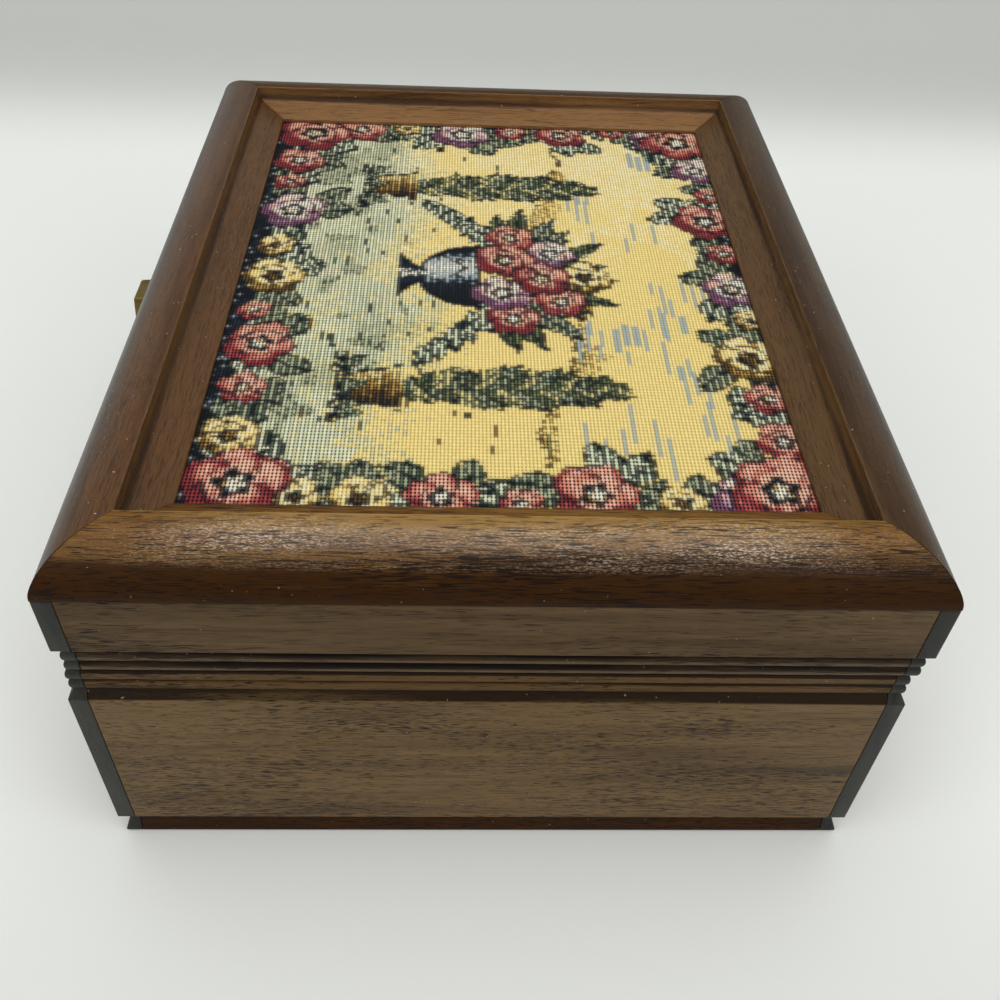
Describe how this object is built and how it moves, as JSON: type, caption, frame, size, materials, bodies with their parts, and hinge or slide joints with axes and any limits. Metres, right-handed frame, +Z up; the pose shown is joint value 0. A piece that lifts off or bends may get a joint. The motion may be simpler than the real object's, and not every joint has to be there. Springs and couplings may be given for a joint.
{
  "type": "music box",
  "caption": "Reeded hardwood music box with a hinged lid, a mitred frame round a woven top panel, a lined interior with ring rolls, and a wind-up comb movement.",
  "frame": {"origin": "under the middle of the box, on the surface that it stands on", "axes": "+Z up, +X along the long side to the right as seen from the front, -Y out of the front with the lid pull, +Y towards the lid hinges"},
  "size_m": [0.2512, 0.2142, 0.1129],
  "materials": {
    "walnut": "walnut-stained hardwood under a satin lacquer",
    "woven_cloth": "ribbed woven cloth in gold, sage, crimson and dark green",
    "grey_board": "plain pressed board",
    "red_velvet": "short-pile velvet over board or padding",
    "mirror": "silvered glass with a ground edge",
    "brass": "plain brass, slightly dulled",
    "steel": "ground steel",
    "cast_metal": "plain grey casting",
    "clear_plastic": "clear moulded plastic"
  },
  "bodies": {
    "case": {"plinth_front": "walnut", "plinth_back": "walnut", "plinth_left": "walnut", "plinth_right": "walnut", "base_front": "walnut", "base_back": "walnut", "base_left": "walnut", "base_right": "walnut", "bottom_board": "walnut", "lining_front": "red_velvet", "lining_back": "red_velvet", "lining_left": "red_velvet", "lining_right": "red_velvet", "cross_divider": "red_velvet", "ring_divider": "red_velvet", "movement_divider": "red_velvet", "main_floor_pad": "red_velvet", "side_floor_pad": "red_velvet", "ring_platform": "grey_board", "ring_roll_1": "red_velvet", "ring_roll_2": "red_velvet", "ring_roll_3": "red_velvet", "hinge_left_lower": "brass", "hinge_left_pin": "steel", "hinge_right_lower": "brass", "hinge_right_pin": "steel", "bedplate": "cast_metal", "barrel_bridge": "brass", "comb": "steel", "comb_screw_1": "steel", "comb_screw_2": "steel", "governor_bracket": "brass", "dust_hood": "clear_plastic"},
    "lid": {"lid_front": "walnut", "lid_back": "walnut", "lid_left": "walnut", "lid_right": "walnut", "frame_front": "walnut", "frame_back": "walnut", "frame_left": "walnut", "frame_right": "walnut", "woven_panel": "woven_cloth", "panel_board": "grey_board", "mirror_surround": "red_velvet", "mirror": "mirror", "lid_pull": "brass", "hinge_left_upper": "brass", "hinge_right_upper": "brass"},
    "winding": {"winding_arbor": "steel", "winding_key": "brass"},
    "barrel": {"spring_barrel": "brass"},
    "cylinder": {"pinned_cylinder": "brass", "cylinder_arbor": "steel", "cylinder_gear": "brass"},
    "idler": {"idler_arbor": "steel", "worm_wheel": "brass"},
    "governor": {"governor_worm": "steel", "governor_fan": "brass"},
    "stop": {"stop_wire": "steel"}
  },
  "joints": [
    {"name": "lid_hinge", "type": "hinge", "parent": "case", "child": "lid", "pos_m": [0, 0.1042, 0.0744], "axis": [-1, 0, 0], "range_deg": [0, 100]},
    {"name": "key_turn", "type": "hinge", "parent": "case", "child": "winding", "pos_m": [0.07625, 0.065, 0.01195], "axis": [0, 0, 1], "continuous": true},
    {"name": "barrel_turn", "type": "hinge", "parent": "case", "child": "barrel", "pos_m": [0.07625, 0.065, 0.01575], "axis": [0, 0, 1], "continuous": true},
    {"name": "cylinder_turn", "type": "hinge", "parent": "case", "child": "cylinder", "pos_m": [0.07625, 0.065, 0.02841], "axis": [1, 0, 0], "continuous": true},
    {"name": "idler_turn", "type": "hinge", "parent": "case", "child": "idler", "pos_m": [0.07625, 0.07524, 0.02124], "axis": [1, 0, 0], "continuous": true},
    {"name": "governor_turn", "type": "hinge", "parent": "case", "child": "governor", "pos_m": [0.10385, 0.08124, 0.02124], "axis": [0, 0, 1], "continuous": true},
    {"name": "stop_rise", "type": "slide", "parent": "case", "child": "stop", "axis": [0, 0, 1], "range_m": [0, 0.004]}
  ],
  "couplings": [
    {"joint": "cylinder_turn", "follows": "barrel_turn", "ratio": 3},
    {"joint": "idler_turn", "follows": "barrel_turn", "ratio": -12},
    {"joint": "governor_turn", "follows": "barrel_turn", "ratio": 192},
    {"joint": "stop_rise", "follows": "lid_hinge", "m_per_rad": 0.0022918}
  ]
}
